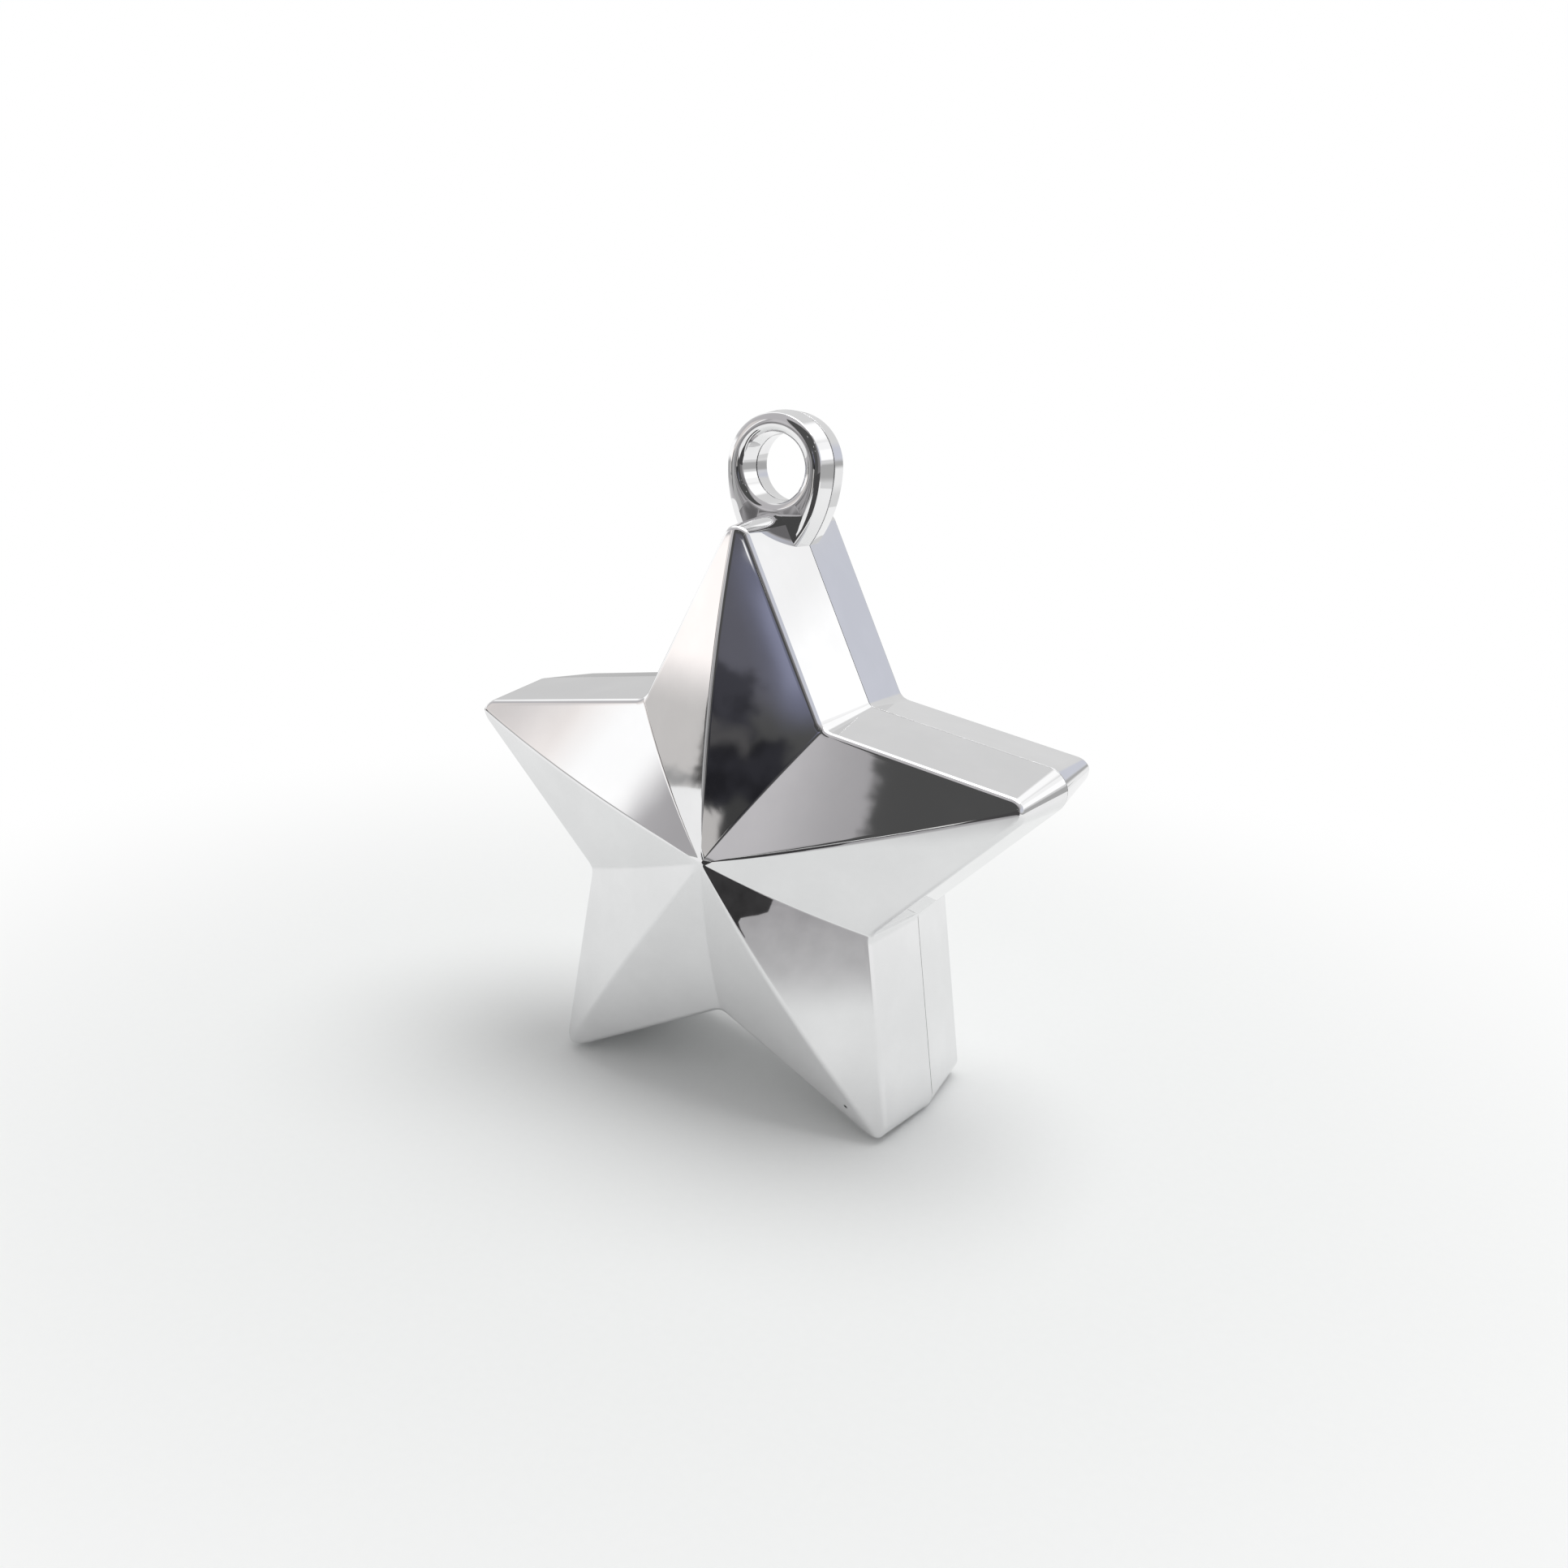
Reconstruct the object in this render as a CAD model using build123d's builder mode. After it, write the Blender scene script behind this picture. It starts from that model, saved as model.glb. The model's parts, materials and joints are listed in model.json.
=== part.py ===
from build123d import *
from math import asin, atan, cos, hypot, radians, sin, tan
import os

# Star-shaped balloon weight, in millimetres. It stands on two arms with its front towards -Y.
# Two moulded half shells meet at the seam, the plane Y = 0. Each holds a block of cast mortar.

# Star, measured at the rim, where the raised facets meet the side wall
arm_count = 5
arm_reach = 48.0  # centre to the corner where two sides of an arm would meet
notch_reach = 24.4  # centre to the corner between two arms
rim_depth = 12.7  # seam to rim
facet_rise = 6.6  # rim to the middle of the star
draft_angle = 5.84  # the side wall leans in from the seam to the rim
tip_round = 2.05  # end of an arm at the rim
notch_round = 2.6  # corner between two arms at the rim
edge_round = 0.6  # along the rim and the ridges
wall = 2.0
tip_wall = 3.0  # at the end of an arm, where the room inside ends in a flat
foot_cut = 0.6  # depth of the flat that each foot stands on

# Ribbon loop on top of the upper arm, one half on each shell
bore_radius = 4.6
bore_lift = 1.2  # end of the upper arm to the edge of the bore
loop_band = 3.1  # from the bore to the outside, at the seam
loop_depth = 3.7  # seam to the face of the loop
loop_round = 1.2  # outer edge of the loop's face
bevel_width = 1.0  # bevel round the bore, across the loop's face
bevel_depth = 0.5  # the same bevel, down the wall of the bore
loop_sink = 5.6  # end of the upper arm down to the foot of the loop, inside the arm
loop_foot = 7.4  # width at the foot, which the sides curve in to

# Step joint round the seam
tongue_width = 0.8
tongue_height = 1.2
joint_clearance = 0.1
glue_film = 0.3  # glue between the end of the tongue and the floor of the step

# Mortar, which shrinks a little away from the shell as it sets
mortar_shrink = 0.2
fill_gap = 2.2  # seam to the level that the mortar is filled to

# Shape of the star that follows from these sizes
half_step = 180 / arm_count
notch_side = notch_reach * sin(radians(half_step))
notch_rise = notch_reach * cos(radians(half_step))
rim_distance = arm_reach * notch_side / hypot(notch_side, arm_reach - notch_rise)
tip_stretch = arm_reach / rim_distance
tip_half_angle = asin(1 / tip_stretch)
draft_slope = tan(radians(draft_angle))
facet_slope = facet_rise / rim_distance
seam_growth = rim_depth * draft_slope
seam_distance = rim_distance + seam_growth
seam_tip_round = tip_round + seam_growth
apex_depth = rim_depth + facet_rise
tip_centre = arm_reach - tip_round * tip_stretch
star_height = tip_centre * cos(radians(half_step)) + seam_tip_round - foot_cut
arm_end = tip_centre + seam_tip_round

# Each half is drawn on the seam, seen from its own outside, and grows outwards
front = Plane(origin=(0, 0, star_height), x_dir=(1, 0, 0), z_dir=(0, -1, 0))
rear = Plane(origin=(0, 0, star_height), x_dir=(-1, 0, 0), z_dir=(0, 1, 0))


def star_face(plane, distance, tip_radius=0, notch_radius=0):
    """A star with its sides at a distance from the centre, its corners rounded or sharp."""
    growth = distance / rim_distance
    corners = []
    for arm in range(arm_count):
        tip_angle = radians(90 + 2 * arm * half_step)
        notch_angle = tip_angle + radians(half_step)
        corners.append((arm_reach * growth * cos(tip_angle), arm_reach * growth * sin(tip_angle)))
        corners.append((notch_reach * growth * cos(notch_angle), notch_reach * growth * sin(notch_angle)))
    with BuildSketch(plane) as star:
        with BuildLine():
            Polyline(*corners, close=True)
        make_face()
        if tip_radius:
            fillet(star.vertices().sort_by_distance((0, 0, 0))[arm_count:], tip_radius)
        if notch_radius:
            fillet(star.vertices().sort_by_distance((0, 0, 0))[:arm_count], notch_radius)
    return star.sketch


def seam_face(plane, inset):
    """The star at the seam, moved in from the outside by an inset, with sharp notches."""
    return star_face(plane, seam_distance - inset, seam_tip_round - inset)


def star_pyramid(plane, height):
    """A star pyramid with the slope of the facets: one flat face for each side of the star."""
    base = star_face(plane, height / facet_slope).face()
    apex = plane.from_local_coords(Vector(0, 0, height))
    facets = [Face(Wire.make_polygon([side @ 0, side @ 1, apex])) for side in base.edges()]
    return Solid(Shell([base] + facets))


def star_half(plane, outline, depth):
    """Half of a star: a drafted star that grows from its outline at the seam, under a star pyramid."""
    with BuildPart() as half:
        extrude(outline, amount=depth, taper=draft_angle)
        add(star_pyramid(plane, depth), mode=Mode.INTERSECT)
    return half.part


def facet_edges(part, plane):
    """The rim and the ridges: the edges of the facets whose middles lie further out than a valley's."""
    valley_middle = notch_reach / 2
    ridge_middle = arm_reach / 2
    nearest = (valley_middle + ridge_middle) / 2
    chosen = ShapeList()
    for edge in part.edges():
        middle = plane.to_local_coords(edge.center())
        if middle.Z > rim_depth - edge_round and hypot(middle.X, middle.Y) > nearest:
            chosen.append(edge)
    return chosen


def outer_half(plane):
    """Outside of one half of the star, with its rim and ridges rounded."""
    outline = star_face(plane, seam_distance, seam_tip_round, notch_round - seam_growth)
    with BuildPart() as half:
        add(star_half(plane, outline, apex_depth))
        fillet(facet_edges(half.part, plane), edge_round)
    return half.part


def inner_half(plane, inset):
    """Room inside one half, or the mortar in it: its walls and facets are moved in, its arms end in flats."""
    distance = seam_distance - inset / cos(radians(draft_angle))
    flat_reach = arm_end - tip_wall - (inset - wall) / cos(radians(draft_angle))
    tip_cut = (distance * tip_stretch - flat_reach) / cos(tip_half_angle)
    with BuildSketch(plane) as star:
        add(star_face(Plane.XY, distance))
        chamfer(star.vertices().sort_by_distance((0, 0, 0))[arm_count:], tip_cut)
    return star_half(plane, star.sketch, apex_depth - inset / cos(atan(facet_slope)))


def loop_half(plane):
    """Half of the ribbon loop: a drop-shaped eye whose sides run down into the upper arm."""
    centre = Vector(0, arm_end + bore_lift + bore_radius)
    side = Vector(bore_radius + loop_band, 0)
    foot = Vector(0, arm_end - loop_sink)
    foot_side = Vector(loop_foot / 2, 0)
    with BuildPart() as eye:
        with BuildSketch(plane):
            with BuildLine():
                CenterArc(centre, bore_radius + loop_band, 0, 180)
                TangentArc(centre - side, foot - foot_side, tangent=(0, -1))
                Line(foot - foot_side, foot + foot_side)
                TangentArc(centre + side, foot + foot_side, tangent=(0, -1))
            make_face()
        extrude(amount=loop_depth, taper=draft_angle)
        face = eye.faces().sort_by(Axis(plane.origin, plane.z_dir))[-1]
        fillet(face.edges().sort_by(Axis.Z)[1:], loop_round)
        with BuildSketch(plane):
            with Locations(centre):
                Circle(bore_radius)
        extrude(amount=loop_depth, mode=Mode.SUBTRACT)
        face = eye.faces().sort_by(Axis(plane.origin, plane.z_dir))[-1]
        mouth = face.inner_wires()[0].edges()
        chamfer(mouth, bevel_width, bevel_depth, reference=face)
    return eye.part


def half_shell(plane):
    """One moulded half before its side of the step joint is made: star, loop, room and foot flats."""
    with BuildPart() as shell:
        add(outer_half(plane))
        add(loop_half(plane))
        add(inner_half(plane, wall), mode=Mode.SUBTRACT)
        split(bisect_by=Plane.XY, keep=Keep.TOP)
    return shell.part


def seam_ring(plane, outer_inset, inner_inset, depth):
    """A star-shaped ring that stands on a plane, between two insets from the outside at the seam."""
    with BuildPart() as ring:
        extrude(seam_face(plane, outer_inset), amount=depth)
        extrude(seam_face(plane, inner_inset), amount=depth, mode=Mode.SUBTRACT)
    return ring.part


tongue_inset = wall - tongue_width
step_depth = tongue_height + glue_film

# Front shell: the tongue stands out past the seam
with BuildPart() as front_shell:
    add(half_shell(front))
    add(seam_ring(rear, tongue_inset, wall, tongue_height))
front_shell.part.label = "front_shell"

# Rear shell: a step round the inside of the wall takes the tongue
with BuildPart() as rear_shell:
    add(half_shell(rear))
    extrude(seam_face(rear, tongue_inset - joint_clearance), amount=step_depth, mode=Mode.SUBTRACT)
rear_shell.part.label = "rear_shell"

# Mortar blocks, cast in the shells and struck off below the seam
with BuildPart() as front_ballast:
    add(inner_half(front, wall + mortar_shrink))
    split(bisect_by=front.offset(fill_gap), keep=Keep.TOP)
front_ballast.part.label = "front_ballast"

with BuildPart() as rear_ballast:
    add(inner_half(rear, wall + mortar_shrink))
    split(bisect_by=rear.offset(fill_gap), keep=Keep.TOP)
rear_ballast.part.label = "rear_ballast"

# Glue bead between the end of the tongue and the floor of the step
with BuildPart() as seam_glue:
    add(seam_ring(rear.offset(tongue_height), tongue_inset, wall, glue_film))
seam_glue.part.label = "seam_glue"

os.makedirs("parts", exist_ok=True)
for piece in (front_shell, rear_shell, front_ballast, rear_ballast, seam_glue):
    export_step(piece.part, f"parts/{piece.part.label}.step")
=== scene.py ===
import json
from math import atan, cos, hypot, radians, sin, sqrt, tan

import bmesh
import bpy
import numpy as np
from mathutils import Matrix, Vector


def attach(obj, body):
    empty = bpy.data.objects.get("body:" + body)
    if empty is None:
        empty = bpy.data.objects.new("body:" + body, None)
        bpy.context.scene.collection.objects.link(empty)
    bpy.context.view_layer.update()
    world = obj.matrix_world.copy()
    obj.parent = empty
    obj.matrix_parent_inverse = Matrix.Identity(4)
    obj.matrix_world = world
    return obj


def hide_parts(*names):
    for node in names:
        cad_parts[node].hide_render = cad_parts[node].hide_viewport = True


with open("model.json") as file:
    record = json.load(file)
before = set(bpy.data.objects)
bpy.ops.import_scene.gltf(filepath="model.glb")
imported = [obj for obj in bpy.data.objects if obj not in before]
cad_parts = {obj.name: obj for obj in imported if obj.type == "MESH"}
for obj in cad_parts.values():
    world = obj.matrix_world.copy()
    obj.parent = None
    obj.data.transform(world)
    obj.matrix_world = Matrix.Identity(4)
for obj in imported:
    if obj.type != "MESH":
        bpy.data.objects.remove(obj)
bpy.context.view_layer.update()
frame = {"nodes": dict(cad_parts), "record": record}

# Sizes in millimetres, the same as the part's
MM = 0.001
ARM_COUNT = 5
ARM_REACH = 48.0
NOTCH_REACH = 24.4
RIM_DEPTH = 12.7
FACET_RISE = 6.6
DRAFT_ANGLE = 5.84
TIP_ROUND = 2.05
NOTCH_ROUND = 2.6
WALL = 2.0
CAVITY_TIP_ROUND = 0.4
FOOT_CUT = 0.6
LOOP_BAND = 3.08
LOOP_DEPTH = 3.7
FLANK_RADIUS = 18.2
TONGUE_WIDTH = 0.8
TONGUE_HEIGHT = 1.2
JOINT_CLEARANCE = 0.1
GLUE_FILM = 0.3

# Fine shape that the solids leave out
RIM_ROUND = 0.85
RIDGE_SOFT = 0.42  # half the width of the rounding along a ridge
VALLEY_SOFT = 0.16  # half the width of the rounding along a valley
APEX_SOFT = 0.55
RIDGE_BOW = 1.9  # how far a ridge stands out from a straight line, halfway along
VALLEY_BOW = 1.0  # the same for a valley
SEAM_ROUND = 0.04
SEAM_GAP = 0.06  # half the gap that shows as the seam line
LOOP_GAP = 0.13  # the same on the loop
SEAM_GROOVE = 0.4  # depth of that gap in the loop, below which its halves meet
SEAM_TOUCH = 0.005  # half the gap where they meet
LOOP_SINK = 1.0  # depth of the loop's foot in the wall of the upper arm
LOOP_DRAFT = 5.84  # the loop's outside leans in from the seam
BORE_DRAFT = 4.5  # the bore opens from the seam to its rim
CROWN_INNER = (1.15, 0.5)  # width and height of the arched face from the bore's rim to its crest
CROWN_TURN = 35.0  # slope that the broad outer part of the face reaches before its edge turns down
CROWN_EDGE = 0.3  # radius of that edge
CROWN_LEAN = 0.85  # share of the loop's draft that is reached where that edge ends
CAVITY_STEP = 0.05  # from the step joint to the first row of the inside wall

# Shape of the star that follows
HALF_STEP = radians(180 / ARM_COUNT)
NOTCH_SIDE = NOTCH_REACH * sin(HALF_STEP)
RIM_DISTANCE = ARM_REACH * NOTCH_SIDE / hypot(NOTCH_SIDE, ARM_REACH - NOTCH_REACH * cos(HALF_STEP))
TIP_STRETCH = ARM_REACH / RIM_DISTANCE
SIDE_ANGLE = np.arccos(1 / TIP_STRETCH)  # from an arm's axis to the outward direction of its side
NOTCH_ANGLE = SIDE_ANGLE - HALF_STEP
DRAFT = tan(radians(DRAFT_ANGLE))
SLOPE = FACET_RISE / RIM_DISTANCE
SEAM_GROWTH = RIM_DEPTH * DRAFT
SEAM_DISTANCE = RIM_DISTANCE + SEAM_GROWTH
SEAM_TIP_ROUND = TIP_ROUND + SEAM_GROWTH
SEAM_NOTCH_ROUND = NOTCH_ROUND - SEAM_GROWTH
APEX_DEPTH = RIM_DEPTH + FACET_RISE
TIP_CENTRE = ARM_REACH - TIP_ROUND * TIP_STRETCH
STAR_HEIGHT = TIP_CENTRE * cos(HALF_STEP) + SEAM_TIP_ROUND - FOOT_CUT

ribbon_eye = next(mount for mount in frame["record"]["mounts"] if mount["name"] == "ribbon_eye")
BORE_RADIUS = ribbon_eye["dims"]["r_mm"]
LOOP_HEIGHT = ribbon_eye["pos_m"][2] / MM - STAR_HEIGHT  # above the star's centre

SLIVER = 0.001  # faces thinner than this are cleared away where the loop melts in
TIP_STEPS = 18
NOTCH_STEPS = 10
LOOP_TURN = 2.0  # degrees from one section of the loop to the next
SHARP_ANGLE = 32  # degrees between faces from which an edge stays sharp


def gathered(count, power=1.8):
    """Steps from 0 to 1 that lie closest together at 0."""
    return np.linspace(0, 1, count + 1) ** power


def star_row(distance, tip_round, notch_round):
    """One ring of points round the star and their outward directions, always in the same order."""
    notch = HALF_STEP + NOTCH_ANGLE * gathered(NOTCH_STEPS)
    tip = SIDE_ANGLE * gathered(TIP_STEPS)
    tip = np.concatenate([-tip[:0:-1], tip])
    tip_middle = (distance - tip_round) * TIP_STRETCH
    notch_middle = (distance + notch_round) / cos(NOTCH_ANGLE)
    points, outward = [], []
    for angles, middle, at, radius in (
        (-notch, notch_middle, -HALF_STEP, -notch_round),
        (tip, tip_middle, 0, tip_round),
        (notch[:0:-1], notch_middle, HALF_STEP, -notch_round),
    ):
        along = np.stack([np.cos(angles), np.sin(angles)], 1)
        points.append(middle * np.array([cos(at), sin(at)]) + radius * along)
        outward.append(along)
    points, outward = np.concatenate(points), np.concatenate(outward)
    rings = []
    for values in (points, outward):
        turned = []
        for arm in range(ARM_COUNT):
            turn = 2 * HALF_STEP * arm
            up = values[:, 0] * cos(turn) - values[:, 1] * sin(turn)
            side = values[:, 0] * sin(turn) + values[:, 1] * cos(turn)
            turned.append(np.stack([side, up], 1))
        rings.append(np.concatenate(turned))
    return rings


def softened(length, soft):
    """A distance from a crease with its corner at 0 rounded off."""
    return np.where(length < soft, (length**2 / soft + soft) / 2, length)


def from_ridge(points):
    """Distances of points from the star's centre, and their angles from the nearest ridge."""
    angle = np.arctan2(points[:, 0], points[:, 1])
    angle = np.abs(angle - 2 * HALF_STEP * np.round(angle / (2 * HALF_STEP)))
    return np.hypot(points[:, 0], points[:, 1]), angle


def facet_depth(points, soft=True):
    """Depth of flat facets at points of the star, with soft ridges, valleys and apex."""
    reach, angle = from_ridge(points)
    ridge = reach * np.sin(angle)
    valley = reach * np.sin(HALF_STEP - angle)
    level = reach * np.cos(SIDE_ANGLE - angle)
    if soft:
        level = level + sin(SIDE_ANGLE) * (softened(ridge, RIDGE_SOFT) - ridge)
        level = level - sin(NOTCH_ANGLE) * (softened(valley, VALLEY_SOFT) - valley)
        level = np.sqrt(level**2 + APEX_SOFT**2)
    return APEX_DEPTH - SLOPE * level


def facet_bow(points):
    """How far the facets stand out from flat ones at points of the star."""
    reach, angle = from_ridge(points)
    share = reach * np.cos(SIDE_ANGLE - angle) / RIM_DISTANCE
    across = (tan(SIDE_ANGLE) - np.tan(SIDE_ANGLE - angle)) / (tan(SIDE_ANGLE) - tan(NOTCH_ANGLE))
    return np.maximum(4 * share * (1 - share), 0) * (RIDGE_BOW + (VALLEY_BOW - RIDGE_BOW) * across)


def wall_row(depth):
    """The outside of the drafted side wall at a depth from the seam."""
    inset = depth * DRAFT
    return star_row(SEAM_DISTANCE - inset, SEAM_TIP_ROUND - inset, SEAM_NOTCH_ROUND + inset)


def seam_row(inset):
    """The seam's outline moved in by an inset."""
    return star_row(SEAM_DISTANCE - inset, SEAM_TIP_ROUND - inset, SEAM_NOTCH_ROUND + inset)[0]


def rim_rows(steps=9):
    """Rows of the rounded rim, from the facets over to the side wall."""
    points, outward = wall_row(RIM_DEPTH)
    reach = 0.05
    depth = facet_depth(points)
    fall = (facet_depth(points - reach * outward) - facet_depth(points + reach * outward)) / (2 * reach)
    out = (RIM_DEPTH - depth) * DRAFT / (1 - fall * DRAFT)
    corner_depth = depth - fall * out
    facet = np.stack([fall, np.ones_like(fall)], 1)
    facet /= np.linalg.norm(facet, axis=1)[:, None]
    side = np.array([1, DRAFT]) / hypot(1, DRAFT)
    back = RIM_ROUND / (1 + facet @ side)
    middle_out = out - back * (facet[:, 0] + side[0])
    middle_depth = corner_depth - back * (facet[:, 1] + side[1])
    start, end = np.arctan2(facet[:, 1], facet[:, 0]), np.arctan2(side[1], side[0])
    rows = []
    for step in range(steps + 1):
        angle = start + (end - start) * step / steps
        row_out = middle_out + RIM_ROUND * np.cos(angle)
        rows.append((points + outward * row_out[:, None], middle_depth + RIM_ROUND * np.sin(angle)))
    return rows


def facet_rows():
    """Rows of the facets, from beside the apex out to the rim."""
    edge = rim_rows()[0][0]
    shares = (0.006, 0.014, 0.025, 0.04, 0.06, 0.09, 0.14, 0.22, 0.31, 0.4, 0.5, 0.6, 0.7, 0.8, 0.9, 0.985)
    return [(edge * share, facet_depth(edge * share)) for share in shares]


def cavity_row(depth):
    """The inside wall at a depth from the seam."""
    inset = WALL / cos(radians(DRAFT_ANGLE)) + depth * DRAFT
    top = APEX_DEPTH - WALL / cos(atan(SLOPE))
    tip = CAVITY_TIP_ROUND + (top - depth) * DRAFT
    return star_row(SEAM_DISTANCE - inset, tip, SEAM_NOTCH_ROUND + inset)[0]


def flat_row(points, depth):
    """A row of points that all lie at one depth."""
    return points, np.full(len(points), depth)


def seam_rows():
    """Rows of the small rounding where the side wall meets the seam."""
    rows = []
    for turn in np.radians(np.linspace(0, 90, 5)):
        depth = SEAM_GAP + SEAM_ROUND * (1 - sin(turn))
        inset = SEAM_ROUND * (1 - cos(turn))
        rows.append(flat_row(seam_row(inset + depth * DRAFT), depth))
    return rows


def cavity_rows(depth):
    """Rows of the inside, from the seam up to the inside of the rim."""
    top = cavity_row(RIM_DEPTH - WALL)
    inside = APEX_DEPTH - WALL / cos(atan(SLOPE))
    roof = facet_depth(top, soft=False) - APEX_DEPTH + inside
    return [flat_row(cavity_row(depth), depth), (top, roof)]


def ring_faces(first, second, count):
    """Quads between two rings of points."""
    return [(first + i, first + (i + 1) % count, second + (i + 1) % count, second + i) for i in range(count)]


def mesh_object(name, points, faces):
    """An object from points in millimetres about the star's centre: right, up, depth towards +Y."""
    mesh = bpy.data.meshes.new(name)
    placed = [(x * MM, y * MM, max(z + STAR_HEIGHT, 0) * MM) for x, z, y in points]
    mesh.from_pydata(placed, [], faces)
    mesh.validate()
    piece = bpy.data.objects.new(name, mesh)
    bpy.context.scene.collection.objects.link(piece)
    return piece


def star_half(name, side, joint_rows):
    """One half of the star as a closed shell. side is -1 for the front and 1 for the rear."""
    rows = facet_rows() + rim_rows() + seam_rows() + joint_rows
    count = len(rows[0][0])
    points = [(0, 0, side * facet_depth(np.zeros((1, 2)))[0])]
    for places, depths in rows:
        points += [(x, z, side * depth) for (x, z), depth in zip(places, depths)]
    points.append((0, 0, side * (APEX_DEPTH - WALL / cos(atan(SLOPE)))))
    faces = [(0, 1 + (i + 1) % count, 1 + i) for i in range(count)]
    for row in range(len(rows) - 1):
        faces += [face[::-1] for face in ring_faces(1 + (row + 1) * count, 1 + row * count, count)]
    last = 1 + (len(rows) - 1) * count
    faces += [(len(points) - 1, last + i, last + (i + 1) % count) for i in range(count)]
    if side < 0:
        faces = [face[::-1] for face in faces]
    return mesh_object(name, points, faces)


def loop_reach(turn, inset):
    """From the middle of the bore to the outside of the loop, less an inset. turn is from straight up."""
    widest = BORE_RADIUS + LOOP_BAND
    if cos(turn) >= 0:
        return widest - inset
    middle = (widest - FLANK_RADIUS) * abs(sin(turn))
    flank = middle + sqrt(middle**2 - (widest - FLANK_RADIUS) ** 2 + (FLANK_RADIUS - inset) ** 2)
    distance = SEAM_DISTANCE - LOOP_SINK
    closing = -cos(turn) * cos(SIDE_ANGLE) - abs(sin(turn)) * sin(SIDE_ANGLE)
    if closing <= 0:
        return flank
    sunk = (LOOP_HEIGHT * cos(SIDE_ANGLE) - distance) / closing
    radius = SEAM_TIP_ROUND - LOOP_SINK
    drop = LOOP_HEIGHT - TIP_CENTRE
    if abs(drop * sin(turn)) < radius:
        sunk = -drop * cos(turn) - sqrt(radius**2 - (drop * sin(turn)) ** 2)
    return min(flank, sunk)


def seam_edge():
    """Insets and depths of the groove along the seam of the loop, and of its rounded edge."""
    turns = np.radians((90, 60, 30, 0))
    edge = [(SEAM_ROUND * (1 - cos(turn)), LOOP_GAP + SEAM_ROUND * (1 - sin(turn))) for turn in turns]
    return [(SEAM_GROOVE, SEAM_TOUCH), (SEAM_GROOVE, LOOP_GAP)] + edge


def loop_profile():
    """Section through the loop from the seam in the bore, over the arched face, to the seam outside."""
    inner_width, inner_height = CROWN_INNER
    draft, turned = radians(LOOP_DRAFT), radians(CROWN_TURN)
    rim_inset = (LOOP_DEPTH - inner_height) * tan(radians(BORE_DRAFT))
    steepest = 2 * atan(inner_height / inner_width)
    inner_radius = inner_width / sin(steepest)
    crest = BORE_RADIUS + rim_inset + inner_width
    edge_width = CROWN_EDGE * (cos(draft) - sin(turned))
    lean = LOOP_DEPTH * tan(draft) * CROWN_LEAN
    outer_radius = (BORE_RADIUS + LOOP_BAND - lean - crest - edge_width) / sin(turned)
    profile = [("bore", inset, depth) for inset, depth in seam_edge()]
    for turn in steepest * np.linspace(1, 0, 11):
        inset = rim_inset + inner_radius * (sin(steepest) - sin(turn))
        profile.append(("bore", inset, LOOP_DEPTH - inner_radius * (1 - cos(turn))))
    reach, depth = crest, LOOP_DEPTH
    for turn in turned * np.linspace(0, 1, 9)[1:]:
        reach = crest + outer_radius * sin(turn)
        depth = LOOP_DEPTH - outer_radius * (1 - cos(turn))
        profile.append(("band", BORE_RADIUS + LOOP_BAND - reach, depth))
    start_reach, start_depth = reach, depth
    for turn in np.linspace(turned, np.pi / 2 - draft, 8)[1:]:
        reach = start_reach + CROWN_EDGE * (sin(turn) - sin(turned))
        depth = start_depth - CROWN_EDGE * (cos(turned) - cos(turn))
        profile.append(("band", BORE_RADIUS + LOOP_BAND - reach, depth))
    return profile + [("band", inset, depth) for inset, depth in seam_edge()[::-1]]


def loop_half(name, side):
    """One half of the ribbon loop as a closed ring."""
    turns = np.radians(np.arange(0, 360, LOOP_TURN))
    points, faces = [], []
    profile = loop_profile()
    for edge, inset, depth in profile:
        for turn in turns:
            reach = BORE_RADIUS + inset if edge == "bore" else loop_reach(turn, inset)
            points.append((reach * sin(turn), LOOP_HEIGHT + reach * cos(turn), side * depth))
    count = len(turns)
    for row in range(len(profile)):
        following = (row + 1) % len(profile)
        faces += ring_faces(row * count, following * count, count)
    if side > 0:
        faces = [face[::-1] for face in faces]
    return mesh_object(name, points, faces)


def joined(piece, extra):
    """piece with the closed shape extra melted into it."""
    union = piece.modifiers.new("loop", "BOOLEAN")
    union.operation = "UNION"
    union.solver = "EXACT"
    union.object = extra
    graph = bpy.context.evaluated_depsgraph_get()
    mesh = bpy.data.meshes.new_from_object(piece.evaluated_get(graph))
    clean = bmesh.new()
    clean.from_mesh(mesh)
    bmesh.ops.remove_doubles(clean, verts=clean.verts, dist=SLIVER * MM)
    bmesh.ops.dissolve_degenerate(clean, dist=SLIVER * MM, edges=clean.edges)
    clean.to_mesh(mesh)
    clean.free()
    piece.modifiers.clear()
    piece.data = mesh
    bpy.data.objects.remove(extra)
    return piece


def smoothed(piece):
    """Soft shading that keeps the flat faces flat and the sharp corners sharp."""
    piece.data.polygons.foreach_set("use_smooth", [True] * len(piece.data.polygons))
    piece.data.set_sharp_from_angle(angle=radians(SHARP_ANGLE))
    weighted = piece.modifiers.new("flat faces", "WEIGHTED_NORMAL")
    weighted.keep_sharp = True
    weighted.weight = 100
    return piece


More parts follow.
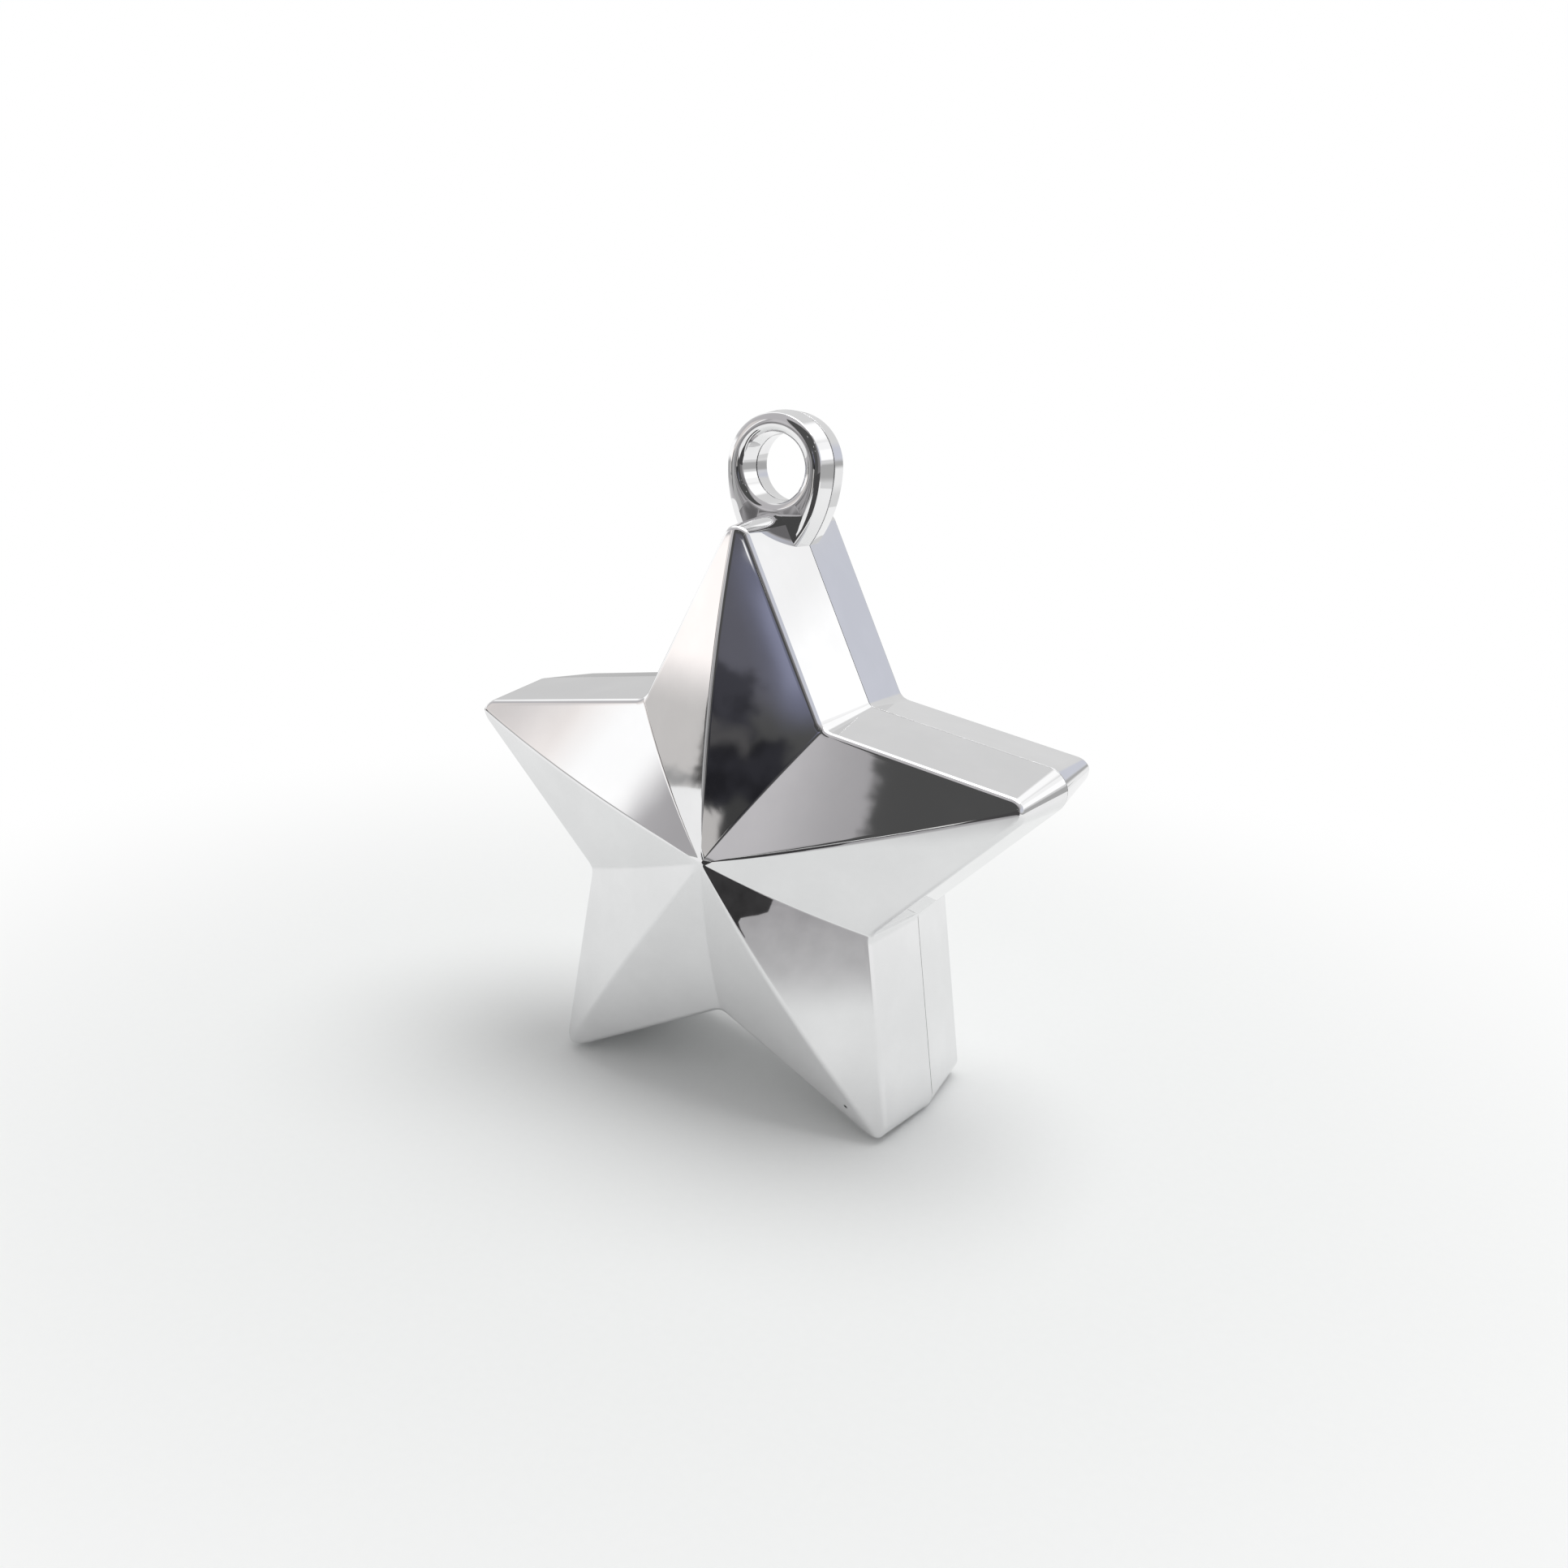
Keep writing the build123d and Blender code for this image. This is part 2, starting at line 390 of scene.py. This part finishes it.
def bowed(piece):
    """piece with its facets bowed out. They keep the shading of flat ones, which the room is laid out for."""
    graph = bpy.context.evaluated_depsgraph_get()
    mesh = bpy.data.meshes.new_from_object(piece.evaluated_get(graph))
    normals = [tuple(corner.vector) for corner in mesh.corner_normals]
    places = np.array([vertex.co for vertex in mesh.vertices]) / MM
    flat = np.stack([places[:, 0], places[:, 2] - STAR_HEIGHT], 1)
    outside = np.abs(places[:, 1]) > facet_depth(flat) - WALL / 2
    places[:, 1] += np.where(outside, np.sign(places[:, 1]) * facet_bow(flat), 0)
    mesh.vertices.foreach_set("co", (places * MM).ravel())
    mesh.normals_split_custom_set(normals)
    piece.modifiers.clear()
    piece.data = mesh
    return piece


tongue_inset = WALL - TONGUE_WIDTH
step_depth = TONGUE_HEIGHT + GLUE_FILM
front_joint = [
    flat_row(seam_row(tongue_inset), SEAM_GAP),
    flat_row(seam_row(tongue_inset), -TONGUE_HEIGHT),
    flat_row(seam_row(WALL), -TONGUE_HEIGHT),
    flat_row(seam_row(WALL), 0),
] + cavity_rows(CAVITY_STEP)
rear_joint = [
    flat_row(seam_row(tongue_inset - JOINT_CLEARANCE), SEAM_GAP),
    flat_row(seam_row(tongue_inset - JOINT_CLEARANCE), step_depth),
    flat_row(seam_row(WALL), step_depth),
] + cavity_rows(step_depth + CAVITY_STEP)

front_half = bowed(smoothed(joined(star_half("front_half", -1, front_joint), loop_half("front_loop", -1))))
rear_half = bowed(smoothed(joined(star_half("rear_half", 1, rear_joint), loop_half("rear_loop", 1))))


class Link:
    """An output of a shader node. Arithmetic on it adds Math nodes to the same tree."""

    def __init__(self, finish, socket):
        self.finish = finish
        self.socket = socket

    def math(self, operation, *values):
        return self.finish.add("ShaderNodeMath", {"operation": operation}, *values)[0]

    def __add__(self, other):
        return self.math("ADD", self, other)

    def __radd__(self, other):
        return self.math("ADD", other, self)

    def __sub__(self, other):
        return self.math("SUBTRACT", self, other)

    def __rsub__(self, other):
        return self.math("SUBTRACT", other, self)

    def __mul__(self, other):
        return self.math("MULTIPLY", self, other)

    def __rmul__(self, other):
        return self.math("MULTIPLY", other, self)

    def __truediv__(self, other):
        return self.math("DIVIDE", self, other)

    def __abs__(self):
        return self.math("ABSOLUTE", self)


class Finish:
    """The node tree of a material or of the world, with one method that adds any node."""

    def __init__(self, owner):
        owner.use_nodes = True
        self.tree = owner.node_tree
        self.tree.nodes.clear()

    def add(self, kind, settings=None, *values, **named):
        """A node's outputs, as Links by name or by number. Settings come first, then sockets."""
        node = self.tree.nodes.new(kind)
        for key, value in (settings or {}).items():
            setattr(node, key, value)
        wanted = list(enumerate(values)) + [(key.replace("_", " "), value) for key, value in named.items()]
        for key, value in wanted:
            socket = node.inputs[key]
            if isinstance(value, Link):
                self.tree.links.new(value.socket, socket)
            else:
                socket.default_value = value
        outputs = {socket.name: Link(self, socket) for socket in node.outputs}
        outputs.update({number: Link(self, socket) for number, socket in enumerate(node.outputs)})
        return outputs

    def mix(self, share, first, second):
        """The colour first, turning into second as share goes from 0 to 1."""
        node = self.tree.nodes.new("ShaderNodeMix")
        node.data_type = "RGBA"
        for number, value in ((0, share), (6, first), (7, second)):
            if isinstance(value, Link):
                self.tree.links.new(value.socket, node.inputs[number])
            else:
                node.inputs[number].default_value = value
        return Link(self, node.outputs[2])

    def between(self, value, low, high):
        """0 below low and 1 above high, with a smooth step between. low may be the larger one."""
        settings = {"interpolation_type": "SMOOTHSTEP"}
        return self.add("ShaderNodeMapRange", settings, value, low, high, 0.0, 1.0)["Result"]

    def seen(self):
        """1 for rays from the camera, from a mirror or through something clear, and 0 for others."""
        path = self.add("ShaderNodeLightPath")
        rays = path["Is Camera Ray"] + path["Is Glossy Ray"] + path["Is Transmission Ray"]
        return rays.math("MINIMUM", rays, 1.0)

    def dot(self, vector, other):
        return self.add("ShaderNodeVectorMath", {"operation": "DOT_PRODUCT"}, vector, other)["Value"]


PLATE_TONE = 0.82  # share of the light that the plating mirrors


def mirrored(level, tint=(1, 1, 1)):
    """The colour of a part of the room that the plating shows as a display grey of 0 to 255."""
    share = level / 255
    linear = share / 12.92 if share < 0.04045 else ((share + 0.055) / 1.055) ** 2.4
    return tuple(linear * part / PLATE_TONE for part in tint) + (1.0,)


def plating():
    """Mirror plating on moulded plastic: a faint ripple, haze and a few specks of dust."""
    material = bpy.data.materials.new("mirror_plating")
    finish = Finish(material)
    place = finish.add("ShaderNodeTexCoord")["Object"]
    ripple = finish.add("ShaderNodeTexNoise", {}, Vector=place, Scale=55.0, Detail=2.0, Roughness=0.45)["Fac"]
    peel = finish.add("ShaderNodeTexNoise", {}, Vector=place, Scale=420.0, Detail=1.0)["Fac"]
    haze = finish.add("ShaderNodeTexNoise", {}, Vector=place, Scale=90.0, Detail=4.0, Roughness=0.6)["Fac"]
    grain = finish.add("ShaderNodeTexVoronoi", {"feature": "F1"}, Vector=place, Scale=230.0)
    chance = finish.add("ShaderNodeSeparateColor", {}, grain["Color"])
    speck = finish.between(grain["Distance"], 0.13, 0.07) * finish.between(chance["Red"], 0.975, 0.985)
    dark_speck = speck * finish.between(chance["Green"], 0.5, 0.55)
    relief = ripple + peel * 0.02
    bump = finish.add("ShaderNodeBump", {}, Strength=0.06, Distance=0.0004, Height=relief)["Normal"]
    tone = finish.mix(finish.between(haze, 0.35, 0.75), (0.80, 0.80, 0.805, 1), (0.84, 0.84, 0.845, 1))
    tone = finish.mix(speck, tone, (0.9, 0.9, 0.9, 1))
    tone = finish.mix(dark_speck, tone, (0.05, 0.05, 0.055, 1))
    rough = 0.02 + 0.02 * haze + 0.4 * speck
    shader = finish.add(
        "ShaderNodeBsdfPrincipled", {}, Base_Color=tone, Metallic=1.0, Roughness=rough, Normal=bump
    )["BSDF"]
    finish.add("ShaderNodeOutputMaterial", {}, shader)
    return material


def mortar():
    """Grey cement mortar with sand grains and small air holes, which are darkened with painted shade."""
    material = bpy.data.materials.new("cast_mortar")
    finish = Finish(material)
    place = finish.add("ShaderNodeTexCoord")["Object"]
    cloud = finish.add("ShaderNodeTexNoise", {}, Vector=place, Scale=70.0, Detail=5.0, Roughness=0.6)["Fac"]
    sand = finish.add("ShaderNodeTexVoronoi", {"feature": "F1"}, Vector=place, Scale=1400.0)
    holes = finish.add("ShaderNodeTexVoronoi", {"feature": "F1"}, Vector=place, Scale=260.0)["Distance"]
    hole_and_shade = finish.between(holes, 0.22, 0.12)
    tone = finish.mix(cloud, (0.40, 0.385, 0.36, 1), (0.60, 0.585, 0.55, 1))
    tone = finish.mix(finish.between(sand["Distance"], 0.2, 0.6) * 0.4, tone, (0.30, 0.27, 0.23, 1))
    # Painted shade: the air holes are darkened in colour as if shaded inside
    tone = finish.mix(hole_and_shade, tone, (0.16, 0.15, 0.14, 1))
    relief = sand["Distance"] * 0.4 + cloud - hole_and_shade
    bump = finish.add("ShaderNodeBump", {}, Strength=0.5, Distance=0.0006, Height=relief)["Normal"]
    shader = finish.add(
        "ShaderNodeBsdfPrincipled", {}, Base_Color=tone, Roughness=0.82 + 0.12 * cloud, Normal=bump
    )["BSDF"]
    finish.add("ShaderNodeOutputMaterial", {}, shader)
    return material


def glue():
    """Set glue, honey clear with tiny bubbles."""
    material = bpy.data.materials.new("set_glue")
    finish = Finish(material)
    place = finish.add("ShaderNodeTexCoord")["Object"]
    flow = finish.add("ShaderNodeTexNoise", {}, Vector=place, Scale=240.0, Detail=3.0)["Fac"]
    bubbles = finish.add("ShaderNodeTexVoronoi", {"feature": "F1"}, Vector=place, Scale=900.0)["Distance"]
    bubble = finish.between(bubbles, 0.25, 0.15)
    tone = finish.mix(flow, (0.78, 0.72, 0.55, 1), (0.90, 0.87, 0.76, 1))
    tone = finish.mix(bubble * 0.5, tone, (0.97, 0.96, 0.92, 1))
    relief = flow + bubble * 0.5
    bump = finish.add("ShaderNodeBump", {}, Strength=0.4, Distance=0.0002, Height=relief)["Normal"]
    shader = finish.add(
        "ShaderNodeBsdfPrincipled", {}, Base_Color=tone, Roughness=0.16 + 0.2 * flow, Normal=bump
    )["BSDF"]
    finish.add("ShaderNodeOutputMaterial", {}, shader)
    return material


plated, cast, set_glue = plating(), mortar(), glue()
for piece, node in ((front_half, "front_shell"), (rear_half, "rear_shell")):
    piece.data.materials.clear()
    piece.data.materials.append(plated)
    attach(piece, "root")
    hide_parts(node)
for node, material in (("front_ballast", cast), ("rear_ballast", cast), ("seam_glue", set_glue)):
    solid = frame["nodes"][node]
    solid.data.materials.clear()
    solid.data.materials.append(material)


def aim(azimuth, elevation):
    """A direction from the star: azimuth from the front towards the right, elevation above the floor."""
    turn, rise = radians(azimuth), radians(elevation)
    return Vector((sin(turn) * cos(rise), -cos(turn) * cos(rise), sin(rise)))


def panel(finish, direction, azimuth, elevation, width, height, soft, tilt=0):
    """How much of a soft-edged panel lies in a direction, from 0 to 1. Sizes are in degrees."""
    toward = aim(azimuth, elevation)
    right = aim(azimuth + 90, 0)
    up = toward.cross(right)
    turn = Matrix.Rotation(radians(tilt), 3, toward)
    ahead = finish.dot(direction, toward)
    ahead = ahead.math("MAXIMUM", ahead, 0.01)
    share = None
    for axis, size in ((turn @ right, width), (turn @ up, height)):
        reach = abs(finish.dot(direction, axis)) / ahead
        half, edge = tan(radians(size / 2)), tan(radians(soft / 2))
        part = finish.between(reach, half + edge, half - edge)
        share = part if share is None else share * part
    return share


MAUVE = (1.01, 0.985, 1.01)
BLUISH = (0.96, 0.985, 1.09)
DUSK = (0.96, 0.96, 1.16)
BLUE = (0.88, 0.92, 1.28)
PINKISH = (1.04, 0.985, 0.96)
WARM = (1.02, 0.99, 0.97)


def surround():
    """The room that the plating mirrors: grey walls, windows and a dark area round the camera."""
    material = bpy.data.materials.new("room")
    finish = Finish(material)
    place = finish.add("ShaderNodeTexCoord")["Object"]
    direction = finish.add("ShaderNodeVectorMath", {"operation": "NORMALIZE"}, place)["Vector"]

    def shaken(scale, amount):
        """Directions with a little noise, for uneven edges."""
        noise = finish.add(
            "ShaderNodeTexNoise", {}, Vector=direction, Scale=scale, Detail=4.0, Roughness=0.6
        )["Color"]
        middle = (0.5, 0.5, 0.5)
        shift = finish.add("ShaderNodeVectorMath", {"operation": "SUBTRACT"}, noise, middle)["Vector"]
        shift = finish.add("ShaderNodeVectorMath", {"operation": "SCALE"}, shift, Scale=amount)["Vector"]
        return finish.add("ShaderNodeVectorMath", {"operation": "ADD"}, direction, shift)["Vector"]

    ragged = shaken(60.0, 0.035)
    rough = shaken(140.0, 0.02)
    mottle = finish.add(
        "ShaderNodeTexNoise", {}, Vector=direction, Scale=38.0, Detail=3.0, Roughness=0.55
    )["Fac"]
    patchy = finish.between(mottle, 0.38, 0.62)

    height = finish.dot(direction, (0, 0, 1))
    behind = finish.dot(direction, (0, 1, 0))
    tone = finish.mix(finish.between(behind, -0.5, 0.4), mirrored(178, MAUVE), mirrored(207))
    ceiling = finish.between(finish.dot(direction, aim(-125, 58)), 0.82, 0.95)
    tone = finish.mix(ceiling, tone, mirrored(255))
    horizon = finish.between(abs(height + 0.035), 0.15, 0.08)
    tone = finish.mix(horizon, tone, mirrored(165))

    def lay(colour, *where, edge=direction):
        nonlocal tone
        tone = finish.mix(panel(finish, edge, *where), tone, colour)

    # Bright wall on the left, and the wall on the right
    lay(mirrored(252), -96, 6, 62, 13, 5)
    lay(mirrored(207, PINKISH), -52, 12, 15, 24, 5)
    lay(mirrored(187, MAUVE), -27, 11, 9, 14, 5)
    lay(mirrored(160, MAUVE), -18.5, 14, 6, 24, 4)
    lay(mirrored(196), -138, 8, 18, 14, 6)
    lay(mirrored(198, BLUISH), 100, 24, 76, 30, 14)
    lay(mirrored(252), 155, 46, 40, 34, 8)
    # Window behind on the right, and the shaded wall beside it
    lay(mirrored(228), 172, -6, 22, 9, 4)
    lay(mirrored(198, BLUISH), 170, 9, 20, 10, 5)
    lay(mirrored(243), 146, 24, 20, 9, 3)
    lay(mirrored(255), 142, 15, 22, 11.6, 2.2)
    # Dark things along the horizon on the left
    lay(finish.mix(patchy, mirrored(92, MAUVE), mirrored(160, MAUVE)), -27, -4, 14, 13, 3, edge=ragged)
    lay(mirrored(95, MAUVE), -54.5, -3, 6.5, 11, 3, edge=ragged)
    # Dark area in front, soft towards the right and crisp towards the left, with a blue wash
    lay(mirrored(112, MAUVE), 26, 14, 50, 62, 22)
    lay(mirrored(74), 4, 16, 45.4, 50, 0.5, edge=rough)
    lay(mirrored(92, DUSK), 0.6, 6, 4.6, 9, 2.4)
    lay(mirrored(112, BLUE), 2.2, 4.6, 3.4, 6.9, 1.6, 24)
    lay(mirrored(142, BLUE), 1.5, 4.1, 0.9, 4.2, 1.2, 24)
    # The darkest part low down, with a paler streak through it
    lay(finish.mix(patchy, mirrored(46, DUSK), mirrored(60, DUSK)), -2.4, 1.0, 6, 3.6, 0.7, edge=ragged)
    lay(finish.mix(patchy, mirrored(32, DUSK), mirrored(46, DUSK)), -1.5, -1.5, 7.4, 3.0, 0.7, edge=ragged)
    lay(mirrored(76, MAUVE), -0.6, 0, 2.4, 0.7, 0.6, -18, edge=ragged)
    # Pale sheet below it
    lay(mirrored(181, WARM), -5.2, -6.2, 10, 6.2, 0.4, edge=rough)
    lay(mirrored(60), 0.05, -5.15, 3.2, 5, 0.4, -36)
    # Small lamps in the dark area
    lamps = ((0.4, 7.6, 1.0), (18, 20, 1.6), (6, 26, 1.6), (19.5, 15.5, 1.2), (33, 31, 2.2))
    for azimuth, elevation, size in lamps:
        lay(mirrored(255), azimuth, elevation, size, size, 0.8)
    # Windows on the left, and the pale sheet below one of them
    lay(mirrored(162, MAUVE), -35.3, 9, 5.6, 18, 3)
    lay(mirrored(234, PINKISH), -41.7, 11.6, 4.2, 16, 3.8, -20)
    lay(mirrored(255), -39.9, 11.8, 3.3, 15, 2.0, -17)
    lay(mirrored(193, WARM), -64, -4.4, 13, 4.4, 1.5)
    lay(mirrored(255, PINKISH), -62.5, 1.2, 9, 6.4, 2.4)
    lay(mirrored(150), -66, -5.9, 18, 0.5, 0.5, edge=rough)
    lay(mirrored(72, WARM), -59, -4.3, 2.8, 3.4, 0.5, edge=rough)
    glow = finish.add("ShaderNodeEmission", {}, tone, 1.0)["Emission"]
    finish.add("ShaderNodeOutputMaterial", {}, glow)
    return material


def lone(name, points, faces, material):
    """A stage object in metres."""
    mesh = bpy.data.meshes.new(name)
    mesh.from_pydata(points, [], faces)
    mesh.materials.append(material)
    thing = bpy.data.objects.new(name, mesh)
    bpy.context.scene.collection.objects.link(thing)
    return thing


def paper():
    """Pale floor sheet with a faint tooth. Away from the part it turns into the plain white background."""
    material = bpy.data.materials.new("floor_sheet")
    finish = Finish(material)
    place = finish.add("ShaderNodeTexCoord")["Object"]
    tooth = finish.add("ShaderNodeTexNoise", {}, Vector=place, Scale=900.0, Detail=3.0)["Fac"]
    tone = finish.mix(tooth, (0.905, 0.915, 0.91, 1), (0.925, 0.935, 0.93, 1))
    sheet = finish.add("ShaderNodeBsdfPrincipled", {}, Base_Color=tone, Roughness=0.9)["BSDF"]
    plain = finish.add("ShaderNodeEmission", {}, (1, 1, 1, 1), 1.0)["Emission"]
    distance = finish.add("ShaderNodeVectorMath", {"operation": "LENGTH"}, place)["Value"]
    away = finish.between(distance, 0.07, 0.2)
    shader = finish.add("ShaderNodeMixShader", {}, finish.seen() * away, sheet, plain)["Shader"]
    finish.add("ShaderNodeOutputMaterial", {}, shader)
    return material


floor_left, floor_right, floor_near, floor_far = -0.385, 0.45, -0.45, 0.30
floor_corners = [
    (floor_left, floor_near, 0),
    (floor_right, floor_near, 0),
    (floor_right, floor_far, 0),
    (floor_left, floor_far, 0),
]
lone("floor", floor_corners, [(0, 1, 2, 3)], paper())

# The room is a far dome that only the plating sees, so the background stays plain
bpy.ops.mesh.primitive_uv_sphere_add(segments=64, ring_count=32, radius=12, location=(0, 0, STAR_HEIGHT * MM))
room = bpy.context.object
room.name = "room"
room.data.materials.append(surround())


def flag(name, outline, near, level, fade=None):
    """A flag for the plating to mirror: an outline in x and z, near metres in front, faded in up to fade."""
    material = bpy.data.materials.new(name)
    finish = Finish(material)
    place = finish.add("ShaderNodeTexCoord")["Object"]
    cloth = finish.add("ShaderNodeTexNoise", {}, Vector=place, Scale=300.0, Detail=3.0)["Fac"]
    colour = finish.mix(cloth, mirrored(level - 14, MAUVE), mirrored(level + 14, MAUVE))
    shader = finish.add("ShaderNodeEmission", {}, colour, 1.0)["Emission"]
    if fade:
        height = finish.add("ShaderNodeSeparateXYZ", {}, place)["Z"]
        rise = 0.7 * finish.between(height, 0.0, fade / 2) + 0.25 * finish.between(height, fade / 2.5, fade)
        clear = finish.add("ShaderNodeBsdfTransparent")["BSDF"]
        shader = finish.add("ShaderNodeMixShader", {}, rise, clear, shader)["Shader"]
    finish.add("ShaderNodeOutputMaterial", {}, shader)
    return lone(name, [(x, -near, z) for x, z in outline], [tuple(range(len(outline)))], material)


# A dark flag close in front, which the plating mirrors beside the apex, and a grey one above the floor, which
# is painted shade: the plating mirrors it in place of the shaded floor in front
dark_edge = [
    (-0.02, 0.0145), (0.01, 0.0148), (0.0089, 0.0163), (0.0084, 0.0173), (0.0088, 0.018),
    (0.0103, 0.0184), (0.0119, 0.0187), (0.0136, 0.0193), (0.0143, 0.0215), (0.0143, 0.032), (-0.02, 0.032),
]
dark_flag = flag("dark_flag", dark_edge, 0.063, 52)
# Painted shade: a grey card, fading in upward from the floor, that stands in for the darker floor in front
grey_flag = flag("grey_flag", [(-0.005, 0), (0.075, 0), (0.075, 0.032), (-0.005, 0.032)], 0.066, 152, 0.02)
# A third flag further out, which only the loop mirrors
loop_edge = [(-0.04, 0.004), (0.15, 0.004), (0.15, 0.078), (0.022, 0.078), (0.022, 0.028), (-0.04, 0.028)]
loop_flag = flag("loop_flag", loop_edge, 0.12, 66)

for unseen in (room, dark_flag, grey_flag, loop_flag):
    unseen.visible_camera = False
    unseen.visible_diffuse = False
    unseen.visible_shadow = False
    unseen.data.materials[0].cycles.emission_sampling = "NONE"

# Soft light: a pale sky for the floor and one broad lamp overhead
world = bpy.data.worlds.new("studio")
bpy.context.scene.world = world
sky = Finish(world)
soft = sky.add("ShaderNodeBackground", {}, (1, 1, 1, 1), 0.52)["Background"]
white = sky.add("ShaderNodeBackground", {}, (1, 1, 1, 1), 1.0)["Background"]
light = sky.add("ShaderNodeMixShader", {}, sky.seen(), soft, white)["Shader"]
sky.add("ShaderNodeOutputWorld", {}, light)

lamp_data = bpy.data.lights.new("overhead", "AREA")
lamp_data.shape = "DISK"
lamp_data.size = 1.2
lamp_data.energy = 10.5
lamp = bpy.data.objects.new("overhead", lamp_data)
lamp.location = (0.22, 0.3, 1.35)
lamp.rotation_euler = (Vector((0, 0, 0)) - lamp.location).to_track_quat("-Z", "Y").to_euler()
bpy.context.scene.collection.objects.link(lamp)

# Camera of the photograph, fitted to the star's edges
camera_data = bpy.data.cameras.new("photo_view")
camera_data.sensor_width = 36
camera_data.lens = 33.881
camera = bpy.data.objects.new("photo_view", camera_data)
look = Vector((-0.462785, 0.840608, -0.281440))
right_hand = Vector((0.869218, 0.492634, 0.042107))
camera.matrix_world = Matrix.Translation((0.101930, -0.181570, 0.067980 + STAR_HEIGHT * MM)) @ Matrix(
    (right_hand, right_hand.cross(look), -look)
).transposed().to_4x4()
bpy.context.scene.collection.objects.link(camera)
bpy.context.scene.camera = camera
bpy.context.scene.view_settings.view_transform = "Standard"
